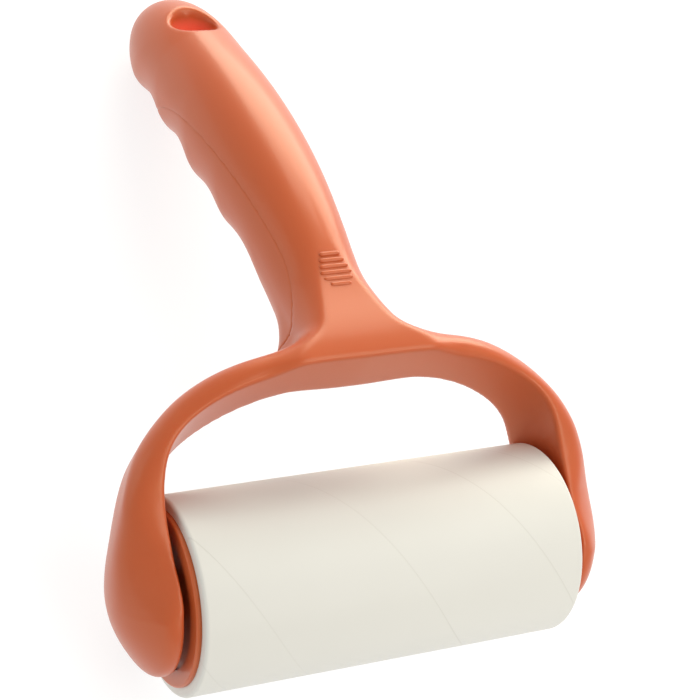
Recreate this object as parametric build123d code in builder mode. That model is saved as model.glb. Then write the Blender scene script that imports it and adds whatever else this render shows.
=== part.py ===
import math
import os

from build123d import *

os.makedirs("parts", exist_ok=True)

# Lint roller lying on its sheet roll and on the tip of its handle.
# X runs along the roll, +Y from the roll to the handle's tip, +Z up. Millimetres.

# --- sheet roll -------------------------------------------------------------------
SHEET_WIDTH = 100.0  # standard refill width
ROLL_R = 24.0  # over the outermost sheet
SHEET_T = 0.15  # outermost sheet
CORE_R = 20.5  # cardboard tube, outside
CORE_BORE_R = 19.0
HALF_ROLL = SHEET_WIDTH / 2

# --- end caps ---------------------------------------------------------------------
CAP_SLEEVE_T = 1.8
CAP_DEPTH = 16.0  # length of the sleeve inside the tube
CAP_FLANGE_R = 21.4
CAP_FLANGE_T = 1.2
CAP_WEB_T = 2.0
CAP_DISH = 1.2  # how deep the web lies behind the flange's face
CAP_BOSS_R = 6.5
CAP_BOSS_L = 11.0
CAP_RIB_T = 1.4
CAP_RIB_COUNT = 6

# --- pivot pins -------------------------------------------------------------------
PIN_R = 3.0
PIN_RUN_CLEARANCE = 0.05
PIN_COLLAR_R = 5.0
PIN_NOSE = 0.8  # chamfer on the free end
PIN_SPARE = 0.5  # pin's ends stop this short of socket and boss
END_PLAY = 0.3  # between collar and end cap
CAP_FACE_X = HALF_ROLL + CAP_FLANGE_T  # outer face of flange and boss

# --- ears of the yoke -------------------------------------------------------------
EAR_X = 53.5  # inner face
EAR_R = 19.0
EAR_RIM_T = 1.6
EAR_DOME = 10.3  # thickness at the middle
EAR_SHOULDER = 0.76  # share of the dome's rise that is left at half its radius
EAR_SOCKET_DEPTH = 6.0

# --- roll's axis in the frame -----------------------------------------------------
TIP_REACH = 179.0  # roll's axis to the end of the handle
TIP_FACE_R = 3.2  # blunt end of the handle
TIP_FACE_BACK = 1.1  # the end face leans, so its middle lies short of the reach
AXIS_Y = (ROLL_R - TIP_REACH) / 2
AXIS_Z = ROLL_R

# --- handle -----------------------------------------------------------------------
# Sections: (y, z) of the centre from the roll's axis, half width along X,
# half depth from back to belly.
HANDLE = [
    (38.0, 34.2, 21.0, 6.9),
    (44.5, 31.6, 15.6, 9.6),
    (52.0, 28.2, 12.8, 11.8),
    (61.0, 25.6, 11.3, 12.4),
    (74.0, 23.6, 11.7, 12.8),
    (91.0, 19.8, 13.3, 14.0),
    (112.0, 12.6, 14.6, 15.0),
    (132.0, 4.3, 15.2, 15.4),
    (147.0, -2.9, 15.0, 15.2),
    (158.0, -8.1, 14.5, 14.4),
    (166.0, -11.8, 13.2, 12.9),
    (172.0, -14.4, 10.6, 10.3),
    (175.8, -16.0, 7.2, 7.0),
    (TIP_REACH - TIP_FACE_BACK, -16.8, TIP_FACE_R, TIP_FACE_R),
]
WALL = 2.6
BELLY_WALL = 4.6  # behind the scallops
CAVITY_FIRST = 3  # first and last sections that are hollow
CAVITY_LAST = 7

# Parting line between handle frame and grip cover, seen from the side.
PARTING = [(47.6, 6.0), (48.0, 18.0), (49.6, 26.5), (53.5, 30.3), (59.0, 31.3), (66.5, 31.5),
           (74.0, 30.8), (82.0, 29.2), (93.7, 26.0), (107.4, 20.8), (119.0, 15.0),
           (130.0, 7.4), (138.0, -1.5), (143.0, -13.0), (145.5, -26.0)]

# Finger scallops round the belly: distance along Y from the roll's axis. Each is cut by
# a ring round the handle, set off towards the back so that it fades out at the sides.
SCALLOP_Y = [84.5, 107.0, 129.5, 152.0]
SCALLOP_R = 36.0
SCALLOP_DEPTH = 2.5

# Pegs that hold the grip cover in the handle frame.
PEG_Y = [68.0, 94.0, 119.0]
PEG_R = 1.6
PEG_POST_R = 3.2
PEG_ENGAGE = 4.0
PEG_DROP = 1.0  # joint between post and socket, below the handle's centre
PEG_SPARE = 1.0  # socket deeper than the peg
PEG_ROOT = 1.0  # foot of the cover's post sunk in the belly
PEG_CLEARANCE = 0.05

# Flat on top of the neck, seen from the side: (y, z) from the roll's axis.
NECK_FLAT = [(34.0, 41.7), (40.0, 41.5), (46.0, 40.7), (52.0, 39.4), (58.0, 37.9), (62.0, 37.2),
             (66.0, 36.9), (70.0, 36.9), (76.0, 37.4)]

# Grip ribs across that flat: (y from the roll's axis, half length along X).
RIBS = [(58.3, 2.9), (60.1, 4.0), (61.9, 4.3), (63.7, 3.9), (65.5, 3.4), (67.3, 2.8)]
RIB_T = 0.9
RIB_H = 0.5
RIB_ROOT = 1.6  # rib height with the part sunk in the neck

# Hanging hole through the tip.
HANG_R = 5.0
HANG_Y = 156.2
HANG_Z = -7.6
HANG_TILT = 24.0  # lean of the hole's axis from vertical, towards the tip
HANG_WALL = 26.0  # straight length of the hole between its flared mouths
HANG_FLARE = 4.0

# --- yoke -------------------------------------------------------------------------
# Seen from above: (x, y from the roll's axis), inner edge then outer edge.
YOKE_INNER = [(0, 36.6), (20, 36.3), (30, 35.2), (38, 33.4), (44, 30.9), (48.5, 27.6),
              (51.6, 23.0), (53.0, 18.0), (EAR_X, 13.0), (EAR_X, 6.0)]
YOKE_OUTER = [(55.0, 5.0), (59.2, 10.0), (60.2, 15.6), (58.9, 21.5), (55.9, 27.6),
              (50.6, 32.4), (44.6, 35.4), (37.0, 38.0), (26.0, 40.2), (0, 41.6)]

# Seen from the side: (y, z) from the roll's axis.
YOKE_TOP = [(2.0, 18.6), (8.0, 19.2), (14.0, 21.4), (20.0, 25.2), (28.0, 31.4), (36.0, 38.4),
            (44.0, 46.0)]
YOKE_BOTTOM = [(46.0, 31.0), (40.0, 22.0), (34.0, 13.0), (28.0, 5.0), (20.0, -4.6), (12.0, -14.6)]

# Seen from the front: (x, z from the roll's axis).
FRONT_TOP = [(0, 41.5), (14, 41.0), (24, 39.4), (32, 37.2), (38, 34.9), (44, 32.2), (50, 29.6),
             (58, 26.0), (70, 20.0)]
FRONT_BOTTOM = [(52.6, -12.0), (50.4, 2.0), (47.0, 9.6), (43.0, 14.0), (38.0, 17.6), (32.0, 21.0),
                (24.0, 24.2), (14.0, 26.2), (0, 27.2)]

# Across the arm, which rises ARM_RISE degrees: half width of the yoke against the
# distance above the arm's middle line.
ARM_RISE = 40.0
ARM_CROWN = [(55.4, -21.0), (58.2, -14.0), (61.0, -7.0), (61.8, -1.0), (60.4, 5.0), (57.8, 10.0),
             (55.6, 15.0), (54.8, 21.0)]

SIDE = Plane(origin=(0, AXIS_Y, AXIS_Z), x_dir=(0, 1, 0), z_dir=(1, 0, 0))
FRONT = Plane(origin=(0, AXIS_Y, AXIS_Z), x_dir=(1, 0, 0), z_dir=(0, -1, 0))
PLAN = Plane(origin=(0, AXIS_Y, AXIS_Z), x_dir=(1, 0, 0), z_dir=(0, 0, 1))
ROLL_AXIS = Axis((0, AXIS_Y, AXIS_Z), (1, 0, 0))
BEYOND = 80.0  # reach of a cut or an intersection past the whole part


def section_plane(i):
    """Plane across the handle at section i, its x along the frame's X."""
    y0, z0 = HANDLE[max(i - 1, 0)][:2]
    y1, z1 = HANDLE[min(i + 1, len(HANDLE) - 1)][:2]
    y, z = HANDLE[i][:2]
    return Plane(origin=(0, AXIS_Y + y, AXIS_Z + z), x_dir=(1, 0, 0), z_dir=(0, y1 - y0, z1 - z0))


def centre_and_depth(y):
    """Handle's centre height and vertical half depth at distance y from the roll's axis."""
    for (y0, z0, _, d0), (y1, z1, _, d1) in zip(HANDLE, HANDLE[1:]):
        if y0 <= y <= y1:
            t = (y - y0) / (y1 - y0)
            slope = math.atan2(z1 - z0, y1 - y0)
            return z0 + t * (z1 - z0), (d0 + t * (d1 - d0)) / math.cos(slope)


def flat_height(y):
    """Height of the neck's flat at distance y from the roll's axis."""
    for (y0, z0), (y1, z1) in zip(NECK_FLAT, NECK_FLAT[1:]):
        if y0 <= y <= y1:
            return z0 + (y - y0) / (y1 - y0) * (z1 - z0)


def roll_plane(x, outward):
    """Plane across the roll's axis at x, its normal pointing outward (1 or -1)."""
    return Plane(origin=(x, AXIS_Y, AXIS_Z), x_dir=(0, 1, 0), z_dir=(outward, 0, 0))


# ------------------------------------------------------------------ handle, solid
with BuildPart() as handle_solid:
    for i, (_, _, half_w, half_d) in enumerate(HANDLE):
        with BuildSketch(section_plane(i)):
            Ellipse(half_w, half_d)
    loft()
    for y in SCALLOP_Y:
        z, half_d = centre_and_depth(y)
        z_next, _ = centre_and_depth(y + 1.0)
        across = Plane(
            origin=(0, AXIS_Y + y, AXIS_Z + z), x_dir=(1, 0, 0), z_dir=(0, 1.0, z_next - z)
        )
        with Locations(across.location * Location((0, -SCALLOP_DEPTH, 0))):
            Torus(half_d + SCALLOP_R, SCALLOP_R, mode=Mode.SUBTRACT)

with BuildPart() as cavity:
    for i in range(CAVITY_FIRST, CAVITY_LAST + 1):
        with BuildSketch(section_plane(i)):
            with Locations((0, -(BELLY_WALL - WALL) / 2)):
                Ellipse(HANDLE[i][2] - WALL, HANDLE[i][3] - (BELLY_WALL + WALL) / 2)
    loft()

with BuildPart() as below_parting:
    with BuildSketch(SIDE):
        with BuildLine():
            Spline(*PARTING)
            Polyline(PARTING[-1], (PARTING[-1][0], -BEYOND), (PARTING[0][0], -BEYOND), PARTING[0])
        make_face()
    extrude(amount=BEYOND, both=True)

# ------------------------------------------------------------------ yoke, solid
with BuildPart() as yoke_solid:
    with BuildSketch(PLAN):
        with BuildLine():
            Spline(*YOKE_INNER)
            Line(YOKE_INNER[-1], YOKE_OUTER[0])
            Spline(*YOKE_OUTER)
            Line(YOKE_OUTER[-1], YOKE_INNER[0])
        make_face()
        mirror(about=Plane.YZ)
    extrude(amount=BEYOND, both=True)
    with BuildSketch(SIDE):
        with BuildLine():
            Spline(*YOKE_TOP)
            Line(YOKE_TOP[-1], YOKE_BOTTOM[0])
            Spline(*YOKE_BOTTOM)
            Line(YOKE_BOTTOM[-1], YOKE_TOP[0])
        make_face()
    extrude(amount=BEYOND, both=True, mode=Mode.INTERSECT)
    with BuildSketch(FRONT):
        with BuildLine():
            Spline(*FRONT_TOP)
            Polyline(
                FRONT_TOP[-1],
                (FRONT_TOP[-1][0], -BEYOND),
                (FRONT_BOTTOM[0][0], -BEYOND),
                FRONT_BOTTOM[0],
            )
            Spline(*FRONT_BOTTOM)
            Line(FRONT_BOTTOM[-1], FRONT_TOP[0])
        make_face()
        mirror(about=Plane.YZ)
    extrude(amount=BEYOND, both=True, mode=Mode.INTERSECT)
    rise = math.radians(ARM_RISE)
    across_arm = Plane(
        origin=(0, AXIS_Y, AXIS_Z), x_dir=(1, 0, 0), z_dir=(0, -math.cos(rise), -math.sin(rise))
    )
    with BuildSketch(across_arm):
        with BuildLine():
            Spline(*ARM_CROWN)
            Polyline(ARM_CROWN[-1], (0, ARM_CROWN[-1][1]), (0, ARM_CROWN[0][1]), ARM_CROWN[0])
        make_face()
        mirror(about=Plane.YZ)
    extrude(amount=BEYOND, both=True, mode=Mode.INTERSECT)
    for side in (1, -1):
        ear_plane = Plane(origin=(0, AXIS_Y, AXIS_Z), x_dir=(side, 0, 0), z_dir=(0, -side, 0))
        rim = (EAR_X + EAR_RIM_T, EAR_R)
        crown = (EAR_X + EAR_DOME, 0)
        shoulder = (EAR_X + EAR_RIM_T + EAR_SHOULDER * (EAR_DOME - EAR_RIM_T), EAR_R / 2)
        with BuildSketch(ear_plane):
            with BuildLine():
                Polyline(crown, (EAR_X, 0), (EAR_X, EAR_R), rim)
                ThreePointArc(rim, shoulder, crown)
            make_face()
        revolve(axis=ROLL_AXIS)

# ------------------------------------------------------------------ handle frame
hang_lean = math.radians(HANG_TILT)
HANG_PLANE = Plane(
    origin=(0, AXIS_Y + HANG_Y, AXIS_Z + HANG_Z),
    x_dir=(1, 0, 0),
    z_dir=(0, math.sin(hang_lean), math.cos(hang_lean)),
)

with BuildPart() as handle_frame:
    add(handle_solid.part)
    # the arch's inner face cuts the handle's root
    with BuildSketch(PLAN):
        with BuildLine():
            Spline(*YOKE_INNER)
            Polyline(YOKE_INNER[-1], (0, YOKE_INNER[-1][1]), YOKE_INNER[0])
        make_face()
        mirror(about=Plane.YZ)
    extrude(amount=BEYOND, both=True, mode=Mode.SUBTRACT)
    add(yoke_solid.part)
    with BuildSketch(SIDE):
        with BuildLine():
            Spline(*NECK_FLAT)
            Polyline(
                NECK_FLAT[-1],
                (NECK_FLAT[-1][0], BEYOND),
                (NECK_FLAT[0][0], BEYOND),
                NECK_FLAT[0],
            )
        make_face()
    extrude(amount=BEYOND, both=True, mode=Mode.SUBTRACT)
    for y, half_l in RIBS:
        with BuildSketch(SIDE):
            with Locations((y, flat_height(y) + RIB_H - RIB_ROOT / 2)):
                Rectangle(RIB_T, RIB_ROOT)
        extrude(amount=half_l, both=True)
    add(cavity.part, mode=Mode.SUBTRACT)
    add(below_parting.part, mode=Mode.SUBTRACT)
    # posts with sockets for the cover's pegs
    for y in PEG_Y:
        z, half_d = centre_and_depth(y)
        with BuildSketch(PLAN.offset(z - PEG_DROP)):
            with Locations((0, y)):
                Circle(PEG_POST_R)
        extrude(amount=half_d + PEG_DROP - WALL / 2)
        with BuildSketch(PLAN.offset(z - PEG_DROP)):
            with Locations((0, y)):
                Circle(PEG_R)
        extrude(amount=PEG_ENGAGE + PEG_SPARE, mode=Mode.SUBTRACT)
    # sockets for the pivot pins
    for side in (1, -1):
        with BuildSketch(roll_plane(side * EAR_X, side)):
            Circle(PIN_R)
        extrude(amount=EAR_SOCKET_DEPTH, mode=Mode.SUBTRACT)
    # hanging hole
    with BuildSketch(HANG_PLANE):
        Circle(HANG_R)
    extrude(amount=BEYOND, both=True, mode=Mode.SUBTRACT)
    for end in (1, -1):
        with BuildSketch(HANG_PLANE.offset(end * HANG_WALL / 2)):
            Circle(HANG_R)
        with BuildSketch(HANG_PLANE.offset(end * (HANG_WALL / 2 + HANG_FLARE))):
            Circle(HANG_R + HANG_FLARE)
        loft(mode=Mode.SUBTRACT)

# ------------------------------------------------------------------ grip cover
with BuildPart() as grip_cover:
    add(handle_solid.part)
    add(below_parting.part, mode=Mode.INTERSECT)
    add(cavity.part, mode=Mode.SUBTRACT)
    for y in PEG_Y:
        z, half_d = centre_and_depth(y)
        with BuildSketch(PLAN.offset(z - half_d + BELLY_WALL - PEG_ROOT)):
            with Locations((0, y)):
                Circle(PEG_POST_R)
        extrude(amount=half_d - BELLY_WALL + PEG_ROOT - PEG_DROP)
        with BuildSketch(PLAN.offset(z - PEG_DROP)):
            with Locations((0, y)):
                Circle(PEG_R - PEG_CLEARANCE)
        extrude(amount=PEG_ENGAGE)

# ------------------------------------------------------------------ pivot pins
pins = []
for side in (1, -1):
    with BuildPart() as pin:
        with BuildSketch(roll_plane(side * CAP_FACE_X, side)):
            Circle(PIN_R)
        extrude(amount=EAR_X - CAP_FACE_X + EAR_SOCKET_DEPTH - PIN_SPARE)
        with BuildSketch(roll_plane(side * CAP_FACE_X, side)):
            Circle(PIN_R)
        extrude(amount=-CAP_BOSS_L + PIN_SPARE)
        with BuildSketch(roll_plane(side * (CAP_FACE_X + END_PLAY), side)):
            Circle(PIN_COLLAR_R)
        extrude(amount=EAR_X - CAP_FACE_X - END_PLAY)
        chamfer(pin.edges().group_by(Axis.X)[0 if side > 0 else -1], PIN_NOSE)
    pins.append(pin.part)

# ------------------------------------------------------------------ end caps
caps = []
for side in (1, -1):
    with BuildPart() as cap:
        with BuildSketch(roll_plane(side * HALF_ROLL, side)):
            Circle(CAP_FLANGE_R)
        extrude(amount=CAP_FLANGE_T)
        with BuildSketch(roll_plane(side * HALF_ROLL, side)):
            Circle(CORE_BORE_R)
        extrude(amount=-CAP_DEPTH)
        fillet(cap.edges().group_by(Axis.X)[-1 if side > 0 else 0], CAP_FLANGE_T / 2)
        # dish in front of the web, hollow behind it
        with BuildSketch(roll_plane(side * CAP_FACE_X, side)):
            Circle(CORE_BORE_R - CAP_SLEEVE_T)
        extrude(amount=-CAP_DISH, mode=Mode.SUBTRACT)
        with BuildSketch(roll_plane(side * (HALF_ROLL - CAP_DEPTH), side)):
            Circle(CORE_BORE_R - CAP_SLEEVE_T)
        extrude(amount=CAP_DEPTH + CAP_FLANGE_T - CAP_DISH - CAP_WEB_T, mode=Mode.SUBTRACT)
        # boss round the pivot pin, carried by ribs behind the web
        with BuildSketch(roll_plane(side * CAP_FACE_X, side)):
            Circle(CAP_BOSS_R)
        extrude(amount=-CAP_BOSS_L)
        with BuildSketch(roll_plane(side * (CAP_FACE_X - CAP_DISH - CAP_WEB_T / 2), side)):
            with PolarLocations(0, CAP_RIB_COUNT):
                Rectangle(
                    CORE_BORE_R - CAP_SLEEVE_T / 2,
                    CAP_RIB_T,
                    align=(Align.MIN, Align.CENTER),
                )
        extrude(amount=-(CAP_BOSS_L - CAP_DISH - CAP_WEB_T / 2))
        with BuildSketch(roll_plane(side * CAP_FACE_X, side)):
            Circle(PIN_R + PIN_RUN_CLEARANCE)
        extrude(amount=-BEYOND / 2, mode=Mode.SUBTRACT)
    caps.append(cap.part)

# ------------------------------------------------------------------ sheet roll
ROLL_PLANE = roll_plane(0, 1)

with BuildPart() as roll_core:
    with BuildSketch(ROLL_PLANE):
        Circle(CORE_R)
        Circle(CORE_BORE_R, mode=Mode.SUBTRACT)
    extrude(amount=HALF_ROLL, both=True)

with BuildPart() as wound_sheets:
    with BuildSketch(ROLL_PLANE):
        Circle(ROLL_R - SHEET_T)
        Circle(CORE_R, mode=Mode.SUBTRACT)
    extrude(amount=HALF_ROLL, both=True)

with BuildPart() as outer_sheet:
    with BuildSketch(ROLL_PLANE):
        Circle(ROLL_R)
        Circle(ROLL_R - SHEET_T, mode=Mode.SUBTRACT)
    extrude(amount=HALF_ROLL, both=True)

pieces = {
    "handle_frame": handle_frame.part,
    "grip_cover": grip_cover.part,
    "right_pivot_pin": pins[0],
    "left_pivot_pin": pins[1],
    "right_end_cap": caps[0],
    "left_end_cap": caps[1],
    "roll_core": roll_core.part,
    "wound_sheets": wound_sheets.part,
    "outer_sheet": outer_sheet.part,
}
for name, piece in pieces.items():
    piece.label = name
    export_step(piece, f"parts/{name}.step")
    box = piece.bounding_box()
    print(name, len(piece.solids()), round(piece.volume), box.min, box.max)
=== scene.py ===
import math

import bpy
import numpy as np
import openvdb
from mathutils import Matrix, Vector


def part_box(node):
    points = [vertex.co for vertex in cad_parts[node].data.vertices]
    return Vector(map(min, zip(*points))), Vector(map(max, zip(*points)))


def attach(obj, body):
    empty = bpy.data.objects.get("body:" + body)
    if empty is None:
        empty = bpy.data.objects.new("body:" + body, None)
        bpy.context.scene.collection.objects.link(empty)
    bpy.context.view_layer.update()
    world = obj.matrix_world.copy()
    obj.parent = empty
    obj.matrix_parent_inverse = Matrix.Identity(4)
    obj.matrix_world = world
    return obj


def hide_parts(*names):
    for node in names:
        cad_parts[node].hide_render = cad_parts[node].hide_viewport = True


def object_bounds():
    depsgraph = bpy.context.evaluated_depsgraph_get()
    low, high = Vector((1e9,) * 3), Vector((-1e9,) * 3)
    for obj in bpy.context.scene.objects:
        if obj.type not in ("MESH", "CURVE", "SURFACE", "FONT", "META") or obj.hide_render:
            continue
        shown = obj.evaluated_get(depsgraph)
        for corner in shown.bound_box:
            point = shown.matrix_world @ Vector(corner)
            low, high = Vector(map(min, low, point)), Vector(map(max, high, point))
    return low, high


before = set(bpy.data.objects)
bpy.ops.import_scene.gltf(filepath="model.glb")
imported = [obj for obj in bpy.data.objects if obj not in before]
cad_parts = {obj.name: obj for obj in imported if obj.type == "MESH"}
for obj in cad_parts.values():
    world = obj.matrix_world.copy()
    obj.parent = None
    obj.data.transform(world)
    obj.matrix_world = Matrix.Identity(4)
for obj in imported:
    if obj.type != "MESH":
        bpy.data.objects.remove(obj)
cad_low, cad_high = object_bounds()

MM = 0.001

# The roll's axis, from the CAD. Shapes below are in millimetres from a point on it,
# x along the roll, y towards the handle's tip, z up.
sheet_low, sheet_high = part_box("outer_sheet")
AXIS = Vector((0, (sheet_low.y + sheet_high.y) / 2, (sheet_low.z + sheet_high.z) / 2))
ROLL_R = (sheet_high.z - sheet_low.z) / 2 / MM
HALF_ROLL = sheet_high.x / MM
core_low, core_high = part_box("roll_core")
CORE_R = (core_high.z - core_low.z) / 2 / MM

# ------------------------------------------------------------------ moulded body, sizes
VOXEL = 0.6
BAND_CELLS = 4  # cells on each side of the surface that keep a true distance
MIRROR_CELLS = 2  # cells of the half grid beyond the plane x = 0
MARGIN_CELLS = 3  # cells beyond the CAD box
GRID_START = -26.0  # in y and z, past the roll
CLEAR = -9.0  # stands for a cut that is far away

# Handle along its centre line: y, z, half width, half depth from back to belly.
HANDLE = [
    (36.0, 35.7, 20.8, 8.3),
    (44.5, 32.5, 14.3, 10.5),
    (52.0, 28.6, 12.2, 12.1),
    (61.0, 25.6, 11.3, 12.4),
    (74.0, 23.6, 11.7, 12.8),
    (91.0, 19.8, 13.2, 13.9),
    (112.0, 12.6, 14.6, 14.9),
    (132.0, 4.3, 14.8, 15.0),
    (147.0, -2.9, 14.5, 14.6),
]
BACK_POWER = 2.0  # 2 makes half an ellipse, more makes it squarer
BELLY_POWER = 2.4
TIP_LENGTH = 33.9  # of the dome beyond the centre line's end
TIP_POWER = 2.7

# Finger scallops: distance along y, depth at the belly.
SCALLOPS = [(84.5, 1.8), (107.5, 1.8), (130.8, 2.1), (152.2, 2.2)]
SCALLOP_R = 36.0
SCALLOP_SET_OFF = 2.2  # the rings' centres lie this far towards the back
CREST_ROUND = 1.6

# Seam between handle and belly cover, seen from the side.
PARTING = [(47.6, 6.0), (48.0, 18.0), (49.6, 26.5), (53.5, 30.3), (59.0, 31.3), (66.5, 31.5),
           (74.0, 30.8), (82.0, 29.2), (93.7, 26.0), (107.4, 20.8), (119.0, 15.0),
           (130.0, 7.4), (138.0, -1.5), (143.0, -13.0), (145.5, -26.0)]
PARTING_FOOT_Z = -90.0  # below the handle
PARTING_GAP = 0.01
PARTING_ROUND = 0.25
LIP_W = 3.0  # the shell reaches this far under the cover's edge
LIP_STEP = 0.15  # and lies this far below the surface there

# Hanging hole near the tip.
HANG_AT = (155.7, -7.8)
HANG_LEAN = 24.0
HANG_R = 5.0
HANG_FLARE = 1.25
HANG_FLARE_FROM = 5.0  # distance along the hole's axis where the mouth starts to widen
HANG_FLARE_TO = 12.5
HANG_FLARE_LIMIT = 1.3  # share of that stretch after which it widens no more
HANG_LIP = 1.5
HANG_FROM_Y = 120.0  # no hole before this

# Yoke from above, from the front and from the side, and the neck's flat from the side.
INNER = [(-20, 36.3), (0, 36.6), (20, 36.3), (30, 35.2), (38, 33.4), (44, 30.9), (48.3, 27.6),
         (51.2, 23.0), (52.4, 18.0), (52.8, 12.0), (52.8, 4.0)]
OUTER = [(-26, 42.4), (0, 41.8), (12, 42.8), (26, 42.6), (37, 41.1), (45.0, 38.1), (51.2, 33.7),
         (56.4, 28.2), (59.8, 22.0), (62.2, 15.0), (64.2, 8.0), (65.6, 0.0), (67.0, -10.0)]
FRONT_TOP = [(0, 41.5), (14, 41.0), (24, 39.4), (32, 37.2), (38, 34.9), (44, 32.2), (50, 29.6),
             (58, 26.0), (66, 22.4)]
FRONT_BOTTOM = [(0, 27.2), (14, 26.2), (24, 24.2), (32, 21.0), (38, 17.6), (43, 14.0),
                (47, 9.6), (50.0, 2.0), (51.6, -12.0), (52.3, -30.0)]
SIDE_TOP = [(2, 19.2), (8, 20.8), (14, 22.4), (20, 25.6), (28, 31.4), (36, 38.4), (44, 46.0)]
ARM_TOP_START = [(-8, 15.0), (-3, 17.8)]  # the arm's outline runs into the ear here
SIDE_BOTTOM = [(46, 31), (40, 22), (34, 13), (28, 5), (21, -3.2), (15.5, -7.4), (9, -8.4)]
NECK_FLAT = [(30, 41.6), (36, 41.6), (41, 41.4), (46, 40.6), (52, 39.2), (58, 37.9), (62, 37.3),
             (66, 37.0), (70, 37.0), (76, 37.6), (84, 39.6)]
YOKE_FOOT_Y = -60.0  # in front of the ears
INNER_X = (-20.0, 52.8)  # the inner outline's ends go down to there
OUTER_X = (-30.0, 60.0)
RIDGE_T = 1.0  # from the inner face to the ridge along the top
WALL_MIN = 0.5  # least width left outside that ridge
ABOVE_SHOULDER = 3.0  # the arm's outline in side view keeps clear of the ridge
ABOVE_SHOULDER_Y = (8, 20)
SHOULDER = 5.0  # depth over which the outer wall rounds in to that ridge
TOP_ROUND = 3.0  # between the front view's and the side view's top
UNDER_ROUND = 3.0
RIDGE_ROUND = 0.6
EDGE_ROUND = 1.0
NECK_BLEND = 6.5
BELLY_BLEND = 15.0  # added under the neck, over these stretches
BELLY_BLEND_Y = (38, 47)
BELLY_BLEND_Z = (33, 21)

# Arm and ear: height of the outer face along the arm, counted from the roll's axis, and
# how fast that face falls off to both sides.
ARM_RISE = 40.0
CREST = [(-24, 50.6), (-19, 55.7), (-12, 60.7), (-6, 63.4), (0, 64.6), (7, 64.8), (14, 64.2),
         (20, 63.4), (27, 62.6), (36, 61.4), (60, 59.0)]
FALL_OFF = [(-30, 0.0238), (0, 0.0238), (7, 0.031), (14, 0.042), (27, 0.05), (60, 0.05)]
UPPER_FALL = 0.45  # the arm's face falls off faster on its upper side, over this stretch
UPPER_FALL_ALONG = (2, 16)
FACE_ROUND = 2.0
EAR_R = 18.8
EAR_BLEND = 4.5
RIM_ROUND = 1.5

# Cut by the plane that the part stands on.
FLOOR_GAP = 0.05
FLOOR_ROUND = 2.0

# Grip ribs: distance along y, half length.
RIBS = [(58.3, 2.9), (60.1, 4.0), (61.9, 4.3), (63.7, 3.9), (65.5, 3.4), (67.3, 2.8)]
RIB_HALF_T = 0.66
RIB_HEIGHT = 0.44
RIB_SUNK = 0.25
RIB_END_POWER = 8  # how late a rib narrows towards its end
RIB_CROWDING = 0.7  # below 1, the sections lie closer near the ends
RIB_SECTIONS = 24
RIB_SIDES = 20

# Sheet roll.
ROLL_EDGE_R = 0.9
ROLL_EDGE_STEPS = 6
ROLL_SIDES = 256
ROLL_SHARP = 35.0


# ------------------------------------------------------------------ shape helpers
def spline(points, per_span=16):
    """Dense points of a natural cubic through the given ones."""
    p = np.array(points, float)
    t = np.concatenate([[0], np.cumsum(np.hypot(*np.diff(p[:, :2], axis=0).T))])
    h = np.diff(t)
    n = len(p)
    a = np.zeros((n, n))
    b = np.zeros((n, p.shape[1]))
    a[0, 0] = a[-1, -1] = 1
    for i in range(1, n - 1):
        a[i, i - 1], a[i, i], a[i, i + 1] = h[i - 1], 2 * (h[i - 1] + h[i]), h[i]
        b[i] = 6 * ((p[i + 1] - p[i]) / h[i] - (p[i] - p[i - 1]) / h[i - 1])
    m = np.linalg.solve(a, b)
    out = []
    for i in range(n - 1):
        for s in np.linspace(0, 1, per_span, endpoint=i == n - 2):
            u, v = s * h[i], (1 - s) * h[i]
            out.append(
                (m[i] * v**3 + m[i + 1] * u**3) / (6 * h[i])
                + (p[i] / h[i] - m[i] * h[i] / 6) * v
                + (p[i + 1] / h[i] - m[i + 1] * h[i] / 6) * u
            )
    return np.array(out)


def union(a, b, k):
    h = np.clip(0.5 + 0.5 * (b - a) / k, 0, 1)
    return b + (a - b) * h - k * h * (1 - h)


def meet(a, b, k):
    return -union(-a, -b, k)


def ramp(v, start, end):
    """0 before start and 1 after end, with soft ends."""
    t = np.clip((v - start) / (end - start), 0, 1)
    return t * t * (3 - 2 * t)


def region(outline, u, v):
    """Signed distance from the points (u, v) to a closed outline, negative inside."""
    shape = np.broadcast(u, v).shape
    px, py = (np.broadcast_to(w, shape).ravel() for w in (u, v))
    best = np.full(px.shape, 1e9)
    inside = np.zeros(px.shape, bool)
    for (x0, y0), (x1, y1) in zip(outline, np.roll(outline, -1, axis=0)):
        dx, dy = x1 - x0, y1 - y0
        s = np.clip(((px - x0) * dx + (py - y0) * dy) / (dx * dx + dy * dy + 1e-12), 0, 1)
        best = np.minimum(best, (px - x0 - s * dx) ** 2 + (py - y0 - s * dy) ** 2)
        if y0 != y1:
            crosses = (y0 > py) != (y1 > py)
            inside ^= crosses & (px < dx * (py - y0) / (y1 - y0) + x0)
    return (np.sqrt(best) * np.where(inside, -1, 1)).reshape(shape)


def under(points, u, v):
    """Distance of v above the line through points, which give v as a function of u."""
    line = spline(points)
    line = line[np.argsort(line[:, 0])]
    slope = np.gradient(line[:, 1], line[:, 0])
    return (v - np.interp(u, line[:, 0], line[:, 1])) / np.hypot(
        1, np.interp(u, line[:, 0], slope)
    )


def to_distance(f):
    """Distance to the surface where f is 1, from f's own slope."""
    slopes = np.gradient(f, VOXEL)
    return (f - 1) / (np.sqrt(sum(g * g for g in slopes)) + 1e-6)


# ------------------------------------------------------------------ moulded body, field
x_end, y_end, z_end = (cad_high - AXIS) / MM
margin = MARGIN_CELLS * VOXEL
xs = np.arange(-MIRROR_CELLS * VOXEL, x_end + margin + VOXEL, VOXEL)
ys = np.arange(GRID_START, y_end + margin, VOXEL)
zs = np.arange(GRID_START, z_end + margin, VOXEL)
X = xs[:, None, None]
Y = ys[None, :, None]
Z = zs[None, None, :]
X_plan, Y_plan = xs[:, None], ys[None, :]
Y_side, Z_side = ys[:, None], zs[None, :]

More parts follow.
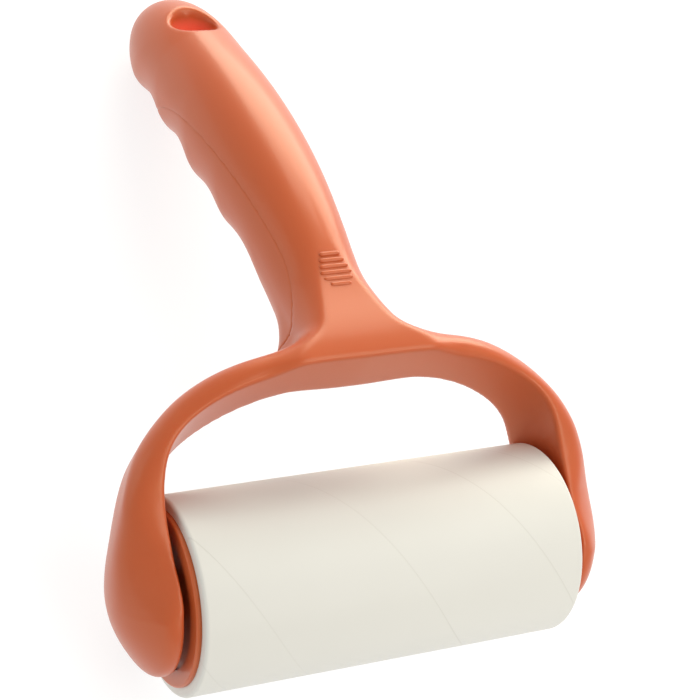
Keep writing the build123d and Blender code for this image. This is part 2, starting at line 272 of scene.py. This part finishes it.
centre_line = spline(HANDLE, per_span=24)
inner_feet = [(INNER_X[1], YOKE_FOOT_Y), (INNER_X[0], YOKE_FOOT_Y)]
inner = region(np.vstack([spline(INNER), inner_feet]), X_plan, Y_plan)


def handle_field():
    """Distance to the plain handle, before scallops, flat and hole."""
    step = np.diff(centre_line[:, :2], axis=0)
    length = np.hypot(*step.T)
    best = np.full((len(ys), len(zs)), 1e9)
    across, beyond, half_w, half_d = (np.zeros_like(best) for _ in range(4))
    for i, (dy, dz) in enumerate(step / length[:, None]):
        y0, z0, w0, d0 = centre_line[i]
        s = (Y_side - y0) * dy + (Z_side - z0) * dz
        t = np.clip(s, 0, length[i])
        far = (Y_side - y0 - t * dy) ** 2 + (Z_side - z0 - t * dz) ** 2
        closer = far < best
        best = np.where(closer, far, best)
        share = t / length[i]
        across = np.where(closer, -(Y_side - y0) * dz + (Z_side - z0) * dy, across)
        half_w = np.where(closer, w0 + share * (centre_line[i + 1, 2] - w0), half_w)
        half_d = np.where(closer, d0 + share * (centre_line[i + 1, 3] - d0), half_d)
        over = s - length[i] if i == len(step) - 1 else 0 * s
        beyond = np.where(closer, np.maximum(over, 0), beyond)
    power = np.where(across > 0, BACK_POWER, BELLY_POWER)[None]
    u = np.abs(X) / half_w[None]
    v = (np.abs(across) / half_d)[None]
    w = (beyond / TIP_LENGTH)[None]
    f = ((u**power + v**power) ** (TIP_POWER / power) + w**TIP_POWER + 1e-9) ** (1 / TIP_POWER)
    return to_distance(f)


def yoke_field():
    """Distance to arch, arms and ears, before the inner face is cut."""
    feet = [(OUTER_X[1], YOKE_FOOT_Y), (OUTER_X[0], YOKE_FOOT_Y)]
    outer = region(np.vstack([spline(OUTER), feet]), X_plan, Y_plan)
    top = meet(
        under(FRONT_TOP, np.abs(X), Z),
        under(SIDE_TOP, Y_side, Z_side)[None],
        TOP_ROUND,
    )
    across = (inner - RIDGE_T) / np.maximum(inner - outer - RIDGE_T, WALL_MIN)
    shoulder = np.hypot(
        np.maximum(across, 0)[:, :, None], np.maximum(1 + top / SHOULDER, 0)
    )
    shoulder = to_distance(shoulder)

    rise = math.radians(ARM_RISE)
    out_arm = Y_side * math.cos(rise) + Z_side * math.sin(rise)
    over_arm = Z_side * math.cos(rise) - Y_side * math.sin(rise)
    crest = spline(CREST)
    fall = np.interp(out_arm, *np.array(FALL_OFF).T)
    fall = fall * (1 + UPPER_FALL * ramp(out_arm, *UPPER_FALL_ALONG) * (over_arm > 0))
    face = np.interp(out_arm, crest[:, 0], crest[:, 1]) - fall * over_arm**2
    face = (np.abs(X) - face[None]) / np.hypot(1, 2 * fall * over_arm)[None]

    arm_top = spline(ARM_TOP_START + SIDE_TOP)
    arm_top[:, 1] += ABOVE_SHOULDER * ramp(arm_top[:, 0], *ABOVE_SHOULDER_Y)
    arm = region(np.vstack([arm_top, spline(SIDE_BOTTOM)]), Y_side, Z_side)
    side = union(arm, np.hypot(Y_side, Z_side) - EAR_R, EAR_BLEND)[None]
    bottom = -under(FRONT_BOTTOM, np.abs(X), Z)
    outside = meet(shoulder, face, FACE_ROUND)
    return meet(outside, meet(side, bottom, UNDER_ROUND), RIM_ROUND)


def hole_field():
    """Distance to the hanging hole's wall, positive inside the hole."""
    lean = math.radians(HANG_LEAN)
    off = (Y - HANG_AT[0]) * math.cos(lean) - (Z - HANG_AT[1]) * math.sin(lean)
    along = (Y - HANG_AT[0]) * math.sin(lean) + (Z - HANG_AT[1]) * math.cos(lean)
    flare = (np.abs(along) - HANG_FLARE_FROM) / (HANG_FLARE_TO - HANG_FLARE_FROM)
    flare = np.clip(flare, 0, HANG_FLARE_LIMIT)
    wall = HANG_R + HANG_FLARE * flare**2 - np.hypot(X, off)
    return np.where(Y > HANG_FROM_Y, wall, CLEAR)


def scallop_field(y, depth):
    """Distance to a ring round the handle, positive inside the ring's tube."""
    i = min(int(np.argmin(np.abs(centre_line[:, 0] - y))), len(centre_line) - 2)
    ty, tz = (centre_line[i + 1] - centre_line[i])[:2]
    ty, tz = ty / math.hypot(ty, tz), tz / math.hypot(ty, tz)
    _, cz, _, d = centre_line[i]
    cz += (y - centre_line[i, 0]) * tz / ty
    cy, cz = y - SCALLOP_SET_OFF * tz, cz + SCALLOP_SET_OFF * ty
    a = (Y - cy) * ty + (Z - cz) * tz
    b = -(Y - cy) * tz + (Z - cz) * ty
    ring_r = d + SCALLOP_SET_OFF - depth + SCALLOP_R
    ring = np.hypot(np.hypot(X, b) - ring_r, a) - SCALLOP_R
    return np.where(np.abs(a) < SCALLOP_R, -ring, CLEAR)


under_neck = ramp(Y, *BELLY_BLEND_Y) * ramp(Z, *BELLY_BLEND_Z)
body = union(handle_field(), yoke_field(), NECK_BLEND + BELLY_BLEND * under_neck)
body = meet(body, under(NECK_FLAT, Y_side, Z_side)[None], RIDGE_ROUND)
body = meet(body, -inner[:, :, None], EDGE_ROUND)
body = meet(body, hole_field(), HANG_LIP)
for y, depth in SCALLOPS:
    body = meet(body, scallop_field(y, depth), CREST_ROUND)
body = meet(body, FLOOR_GAP - ROLL_R - Z, FLOOR_ROUND)

parting_feet = [(PARTING[-1][0], PARTING_FOOT_Z), (PARTING[0][0], PARTING_FOOT_Z)]
cover_side = region(np.vstack([spline(PARTING), parting_feet]), Y_side, Z_side)[None]
cover = meet(body, cover_side + PARTING_GAP, PARTING_ROUND)
shell = meet(body, PARTING_GAP - cover_side, PARTING_ROUND)
lip = np.maximum(body + LIP_STEP, -LIP_W - cover_side)
shell = np.minimum(shell, lip)


# ------------------------------------------------------------------ meshing
def mesh_object(name, verts, faces):
    mesh = bpy.data.meshes.new(name)
    mesh.from_pydata(verts, [], faces)
    mesh.validate()
    obj = bpy.data.objects.new(name, mesh)
    bpy.context.scene.collection.objects.link(obj)
    mesh.shade_smooth()
    return obj


def from_field(name, field):
    """Closed mesh at the zero level of a field on the half grid, mirrored to both sides."""
    whole = np.concatenate([field[:MIRROR_CELLS:-1], field[MIRROR_CELLS:]], 0)
    band = BAND_CELLS * VOXEL
    whole = np.clip(whole, -band, band).astype(np.float32)
    grid = openvdb.FloatGrid(band)
    grid.copyFromArray(whole)
    points, tris, quads = grid.convertToPolygons(isovalue=0.0, adaptivity=0.0)
    index = points.astype(float)
    start = np.array([-(len(xs) - 1 - MIRROR_CELLS) * VOXEL, ys[0], zs[0]])

    # Normals come from the field itself, between the eight grid points around each vertex.
    slopes = np.stack(np.gradient(whole), -1)
    low = np.clip(np.floor(index).astype(int), 0, np.array(whole.shape) - 2)
    frac = index - low
    normals = np.zeros_like(index)
    for corner in range(8):
        bit = np.array([corner >> 2 & 1, corner >> 1 & 1, corner & 1])
        at = low + bit
        weight = np.prod(np.where(bit, frac, 1 - frac), axis=1)
        normals += slopes[at[:, 0], at[:, 1], at[:, 2]] * weight[:, None]
    normals /= np.linalg.norm(normals, axis=1)[:, None] + 1e-12

    verts = (start + index * VOXEL) * MM + np.array(AXIS)
    faces = [tuple(q) for q in quads] + [tuple(t) for t in tris]
    obj = mesh_object(name, verts.tolist(), faces)
    mesh = obj.data
    a, b, c = (np.array(mesh.vertices[i].co) for i in mesh.polygons[0].vertices[:3])
    if np.dot(np.cross(b - a, c - a), normals[mesh.polygons[0].vertices[0]]) < 0:
        mesh.flip_normals()
    mesh.normals_split_custom_set_from_vertices(normals.tolist())
    return obj


def ribs_mesh():
    """Rounded bars sunk in the neck's flat."""
    verts, faces = [], []
    neck = spline(NECK_FLAT)
    for y, half_l in RIBS:
        z = float(np.interp(y, neck[:, 0], neck[:, 1]))
        first = len(verts)
        for i in range(RIB_SECTIONS + 1):
            t = -1 + 2 * i / RIB_SECTIONS
            t = math.copysign(abs(t) ** RIB_CROWDING, t)
            size = math.sqrt(max(1 - abs(t) ** RIB_END_POWER, 1e-4))
            for j in range(RIB_SIDES):
                g = 2 * math.pi * j / RIB_SIDES
                side = RIB_HALF_T * size * math.cos(g)
                rise = (RIB_HEIGHT + RIB_SUNK) * size * math.sin(g)
                verts.append((t * half_l, y + side, z - RIB_SUNK + rise))
        for i in range(RIB_SECTIONS):
            for j in range(RIB_SIDES):
                k = (j + 1) % RIB_SIDES
                a, b = first + i * RIB_SIDES + j, first + i * RIB_SIDES + k
                faces.append((a, b, b + RIB_SIDES, a + RIB_SIDES))
        last = first + RIB_SECTIONS * RIB_SIDES
        faces.append(tuple(first + j for j in reversed(range(RIB_SIDES))))
        faces.append(tuple(last + j for j in range(RIB_SIDES)))
    return mesh_object("grip_ribs", [tuple(AXIS + Vector(v) * MM) for v in verts], faces)


def roll_mesh():
    """Wound sheets as one revolved body with soft edges, open at the core."""
    corner = []
    for i in range(ROLL_EDGE_STEPS + 1):
        g = math.pi / 2 * i / ROLL_EDGE_STEPS
        x = HALF_ROLL - ROLL_EDGE_R + ROLL_EDGE_R * math.cos(g)
        corner.append((x, ROLL_R - ROLL_EDGE_R + ROLL_EDGE_R * math.sin(g)))
    profile = [(-HALF_ROLL, CORE_R)]
    profile += [(-x, r) for x, r in corner]
    profile += reversed(corner)
    profile.append((HALF_ROLL, CORE_R))
    verts, faces = [], []
    for x, r in profile:
        for j in range(ROLL_SIDES):
            g = 2 * math.pi * j / ROLL_SIDES
            verts.append(tuple(AXIS + Vector((x, r * math.cos(g), r * math.sin(g))) * MM))
    for i in range(len(profile)):
        row, next_row = i * ROLL_SIDES, (i + 1) % len(profile) * ROLL_SIDES
        for j in range(ROLL_SIDES):
            k = (j + 1) % ROLL_SIDES
            faces.append((row + j, row + k, next_row + k, next_row + j))
    roll = mesh_object("sheet_roll", verts, faces)
    roll.data.set_sharp_from_angle(angle=math.radians(ROLL_SHARP))
    return roll


handle_shell = from_field("handle_shell", shell)
belly_cover = from_field("belly_cover", cover)
grip_ribs = ribs_mesh()
sheet_roll = roll_mesh()


# ------------------------------------------------------------------ materials
ORANGE = (0.50, 0.089, 0.0235)
# Painted light: a lighter orange for the hanging hole's wall, standing in for light reaching
# into the hole.
HOLE_PAINTED_LIGHT = (0.95, 0.2, 0.12)
CAP_ORANGE = (0.52, 0.10, 0.026)
PAPER = (0.685, 0.675, 0.62)
PAPER_SHADE = (0.44, 0.41, 0.35)
BOARD = (0.36, 0.25, 0.15)

MOULDED_ROUGHNESS = 0.36
CAP_ROUGHNESS = 0.38
PAPER_ROUGHNESS = 0.48
BOARD_ROUGHNESS = 0.85

# Moulded plastic: warm reflections under a thin glossier skin, slightly translucent.
PLASTIC = {
    "IOR": 1.5,
    "Specular Tint": (1.0, 0.86, 0.6, 1),
    "Coat Weight": 0.2,
    "Coat Roughness": 0.16,
    "Subsurface Weight": 0.18,
    "Subsurface Radius": (1.0, 0.35, 0.15),
    "Subsurface Scale": 2.0 * MM,
}
GRAIN = {"Scale": 2600.0, "Detail": 2.0}
GRAIN_STRENGTH = 0.06
GRAIN_DEPTH = 0.2 * MM

# The wall of the hanging hole is painted lighter, as painted light inside the hole: distance
# past the hole's radius where that begins, and where it is complete.
HOLE_LIGHT_FROM = 1.0
HOLE_LIGHT_TO = 0.2

# Butt lines of the helically wound sheets: distance along the roll at the top.
LINES = [-46.5, -4.4, 30.5]
LINE_PITCH = 98.0
LINE_HALF_W = 0.32
LINE_SHADE = 0.33
LINE_STRENGTH = 0.5
LINE_DEPTH = 0.1 * MM
LINE_FADE = {"Scale": 22.0, "Detail": 0.0}

# Faint unevenness of the paper.
BLOTCH = {"Scale": 45.0, "Detail": 3.0}
BLOTCH_SHADE = 0.1


def set_inputs(node, values):
    for name, value in values.items():
        node.inputs[name].default_value = value


def new_material(name, color, roughness):
    mat = bpy.data.materials.new(name)
    mat.use_nodes = True
    nodes = mat.node_tree.nodes
    bsdf = nodes["Principled BSDF"]
    set_inputs(bsdf, {"Base Color": (*color, 1), "Roughness": roughness})
    return mat, nodes, mat.node_tree.links, bsdf


def math_node(nodes, links, operation, *values):
    node = nodes.new("ShaderNodeMath")
    node.operation = operation
    for socket, value in zip(node.inputs, values):
        if isinstance(value, (int, float)):
            socket.default_value = value
        else:
            links.new(value, socket)
    return node.outputs["Value"]


def place_on_object(nodes):
    return nodes.new("ShaderNodeTexCoord").outputs["Object"]


def split_xyz(nodes, links, where):
    split = nodes.new("ShaderNodeSeparateXYZ")
    links.new(where, split.inputs["Vector"])
    return split.outputs


def add_noise(nodes, links, where, values):
    noise = nodes.new("ShaderNodeTexNoise")
    set_inputs(noise, values)
    links.new(where, noise.inputs["Vector"])
    return noise.outputs["Fac"]


def add_bump(nodes, links, bsdf, height, strength, depth):
    bump = nodes.new("ShaderNodeBump")
    set_inputs(bump, {"Strength": strength, "Distance": depth})
    links.new(height, bump.inputs["Height"])
    links.new(bump.outputs["Normal"], bsdf.inputs["Normal"])
    return bump


def mix_base_color(nodes, links, bsdf, share, first, second):
    mix = nodes.new("ShaderNodeMix")
    mix.data_type = "RGBA"
    links.new(share, mix.inputs["Factor"])
    mix.inputs["A"].default_value = (*first, 1)
    mix.inputs["B"].default_value = (*second, 1)
    links.new(mix.outputs["Result"], bsdf.inputs["Base Color"])


def plastic(name, color, roughness):
    mat, nodes, links, bsdf = new_material(name, color, roughness)
    set_inputs(bsdf, PLASTIC)
    grain = add_noise(nodes, links, place_on_object(nodes), GRAIN)
    add_bump(nodes, links, bsdf, grain, GRAIN_STRENGTH, GRAIN_DEPTH)
    return mat


def hole_painted_light_mask(nodes, links, where):
    """Mask of painted light: 1 inside the hanging hole and on its lip, 0 elsewhere on the
    handle.
    """
    at = split_xyz(nodes, links, where)
    lean = math.radians(HANG_LEAN)
    y = math_node(nodes, links, "SUBTRACT", at["Y"], AXIS.y + HANG_AT[0] * MM)
    z = math_node(nodes, links, "SUBTRACT", at["Z"], AXIS.z + HANG_AT[1] * MM)
    y = math_node(nodes, links, "MULTIPLY", y, math.cos(lean))
    z = math_node(nodes, links, "MULTIPLY", z, math.sin(lean))
    off = math_node(nodes, links, "SUBTRACT", y, z)
    off = math_node(nodes, links, "POWER", off, 2.0)
    x = math_node(nodes, links, "POWER", at["X"], 2.0)
    far = math_node(nodes, links, "SQRT", math_node(nodes, links, "ADD", x, off))
    mask = nodes.new("ShaderNodeMapRange")
    links.new(far, mask.inputs["Value"])
    mask.inputs["From Min"].default_value = (HANG_R + HOLE_LIGHT_FROM) * MM
    mask.inputs["From Max"].default_value = (HANG_R + HOLE_LIGHT_TO) * MM
    return mask.outputs["Result"]


def handle_plastic():
    mat = plastic("moulded_orange", ORANGE, MOULDED_ROUGHNESS)
    nodes, links = mat.node_tree.nodes, mat.node_tree.links
    hole = hole_painted_light_mask(nodes, links, place_on_object(nodes))
    # Painted light: the hole's wall is mixed towards a lighter orange.
    mix_base_color(nodes, links, nodes["Principled BSDF"], hole, ORANGE, HOLE_PAINTED_LIGHT)
    return mat


def butt_lines(nodes, links, where):
    """1 in the middle of each line between two wound sheets, 0 beside it."""
    at = split_xyz(nodes, links, where)
    y = math_node(nodes, links, "SUBTRACT", at["Y"], AXIS.y)
    z = math_node(nodes, links, "SUBTRACT", at["Z"], AXIS.z)
    turn = math_node(nodes, links, "ARCTAN2", z, y)
    pitch = LINE_PITCH * MM
    shift = math_node(nodes, links, "MULTIPLY", turn, pitch / (2 * math.pi))
    u = math_node(nodes, links, "SUBTRACT", at["X"], shift)
    shade = None
    for x in LINES:
        start = (x - LINE_PITCH / 4) * MM
        off = math_node(nodes, links, "SUBTRACT", u, start - pitch / 2)
        wrapped = math_node(nodes, links, "WRAP", off, pitch, 0.0)
        off = math_node(nodes, links, "SUBTRACT", wrapped, pitch / 2)
        near = math_node(nodes, links, "ABSOLUTE", off)
        near = math_node(nodes, links, "DIVIDE", near, LINE_HALF_W * MM)
        line = math_node(nodes, links, "SUBTRACT", 1.0, near)
        line = math_node(nodes, links, "MAXIMUM", line, 0.0)
        shade = line if shade is None else math_node(nodes, links, "MAXIMUM", shade, line)
    return shade


def wound_paper():
    mat, nodes, links, bsdf = new_material("sheet_paper", PAPER, PAPER_ROUGHNESS)
    where = place_on_object(nodes)
    blotch = add_noise(nodes, links, where, BLOTCH)
    fade = add_noise(nodes, links, where, LINE_FADE)
    lines = math_node(nodes, links, "MULTIPLY", butt_lines(nodes, links, where), fade)
    soft = math_node(nodes, links, "MULTIPLY", blotch, BLOTCH_SHADE)
    dark = math_node(nodes, links, "MULTIPLY", lines, LINE_SHADE)
    total = math_node(nodes, links, "ADD", soft, dark)
    mix_base_color(nodes, links, bsdf, total, PAPER, PAPER_SHADE)
    groove = add_bump(nodes, links, bsdf, lines, LINE_STRENGTH, LINE_DEPTH)
    groove.invert = True
    return mat


moulded = handle_plastic()
cap_orange = plastic("cap_orange", CAP_ORANGE, CAP_ROUGHNESS)
board = new_material("core_board", BOARD, BOARD_ROUGHNESS)[0]
sheet_roll.data.materials.append(wound_paper())

for obj in (handle_shell, belly_cover, grip_ribs):
    obj.data.materials.append(moulded)
    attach(obj, "handle")
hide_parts("handle_frame")
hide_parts("handle_frame")
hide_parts("grip_cover")
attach(sheet_roll, "roll")
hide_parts("wound_sheets", "outer_sheet")

for node, mat in {
    "left_pivot_pin": cap_orange,
    "right_pivot_pin": cap_orange,
    "left_end_cap": cap_orange,
    "right_end_cap": cap_orange,
    "roll_core": board,
}.items():
    obj = bpy.data.objects[node]
    obj.data.materials.clear()
    obj.data.materials.append(mat)

# ------------------------------------------------------------------ stage, in metres
FLOOR_SIZE = 6.0
FLOOR_Z = -0.5 * MM
FLOOR_GREY = (0.25, 0.25, 0.25)
FLOOR_ROUGHNESS = 0.9
FLOOR_GLOW = 0.8
WORLD_GLOW = 0.62
LIGHTS_AIM = (0, 0, 0.02)

# Name, place, width, height, power in watts, colour.
SOFTBOXES = [
    ("key_right", (0.54, 0.8, 0.27), 1.0, 0.6, 9.5, (1.0, 0.93, 0.78)),
    ("top", (0.35, -0.2, 0.9), 0.7, 0.7, 3.4, (1.0, 0.98, 0.93)),
    ("front", (0.35, -0.8, 0.65), 0.5, 0.4, 2.4, (1.0, 0.95, 0.85)),
    ("back_top", (0.3, 0.8, 0.7), 0.5, 0.3, 1.6, (1.0, 0.95, 0.85)),
    ("left_fill", (-0.8, 0.3, 0.2), 0.5, 0.4, 0.5, (1.0, 1.0, 1.0)),
]

# Camera, placed from the roll's axis.
LENS = 103.7
SENSOR_WIDTH = 36.0
CAMERA_AT = Vector((-208.817, -146.591, 428.156)) * MM
CAMERA_RIGHT = Vector((0.89731889, -0.28836811, 0.3341596))
CAMERA_UP = Vector((0.1046022, 0.87443985, 0.47372283))
CLIP_NEAR = 0.01
CLIP_FAR = 20.0


def add_floor():
    bpy.ops.mesh.primitive_plane_add(size=FLOOR_SIZE, location=(0, 0, FLOOR_Z))
    floor = bpy.context.object
    floor.name = "floor"
    mat, _, _, bsdf = new_material("floor_white", FLOOR_GREY, FLOOR_ROUGHNESS)
    set_inputs(bsdf, {"Emission Color": (1, 1, 1, 1), "Emission Strength": FLOOR_GLOW})
    floor.data.materials.append(mat)


def add_world():
    world = bpy.data.worlds.new("studio")
    bpy.context.scene.world = world
    world.use_nodes = True
    background = world.node_tree.nodes["Background"]
    set_inputs(background, {"Color": (1, 1, 1, 1), "Strength": WORLD_GLOW})


def add_softbox(name, at, width, height, power, color):
    data = bpy.data.lights.new(name, "AREA")
    data.shape = "RECTANGLE"
    data.size = width
    data.size_y = height
    data.energy = power
    data.color = color
    obj = bpy.data.objects.new(name, data)
    bpy.context.scene.collection.objects.link(obj)
    obj.location = at
    obj.rotation_mode = "QUATERNION"
    obj.rotation_quaternion = (Vector(LIGHTS_AIM) - Vector(at)).to_track_quat("-Z", "Y")


def add_camera():
    data = bpy.data.cameras.new("camera")
    data.lens = LENS
    data.sensor_width = SENSOR_WIDTH
    data.dof.use_dof = False
    data.clip_start = CLIP_NEAR
    data.clip_end = CLIP_FAR
    camera = bpy.data.objects.new("camera", data)
    bpy.context.scene.collection.objects.link(camera)
    bpy.context.scene.camera = camera
    back = CAMERA_RIGHT.cross(CAMERA_UP)
    turn = Matrix((CAMERA_RIGHT, CAMERA_UP, back)).transposed().to_4x4()
    camera.matrix_world = Matrix.Translation(AXIS + CAMERA_AT) @ turn


add_floor()
add_world()
for box in SOFTBOXES:
    add_softbox(*box)
add_camera()
bpy.context.scene.view_settings.view_transform = "Standard"
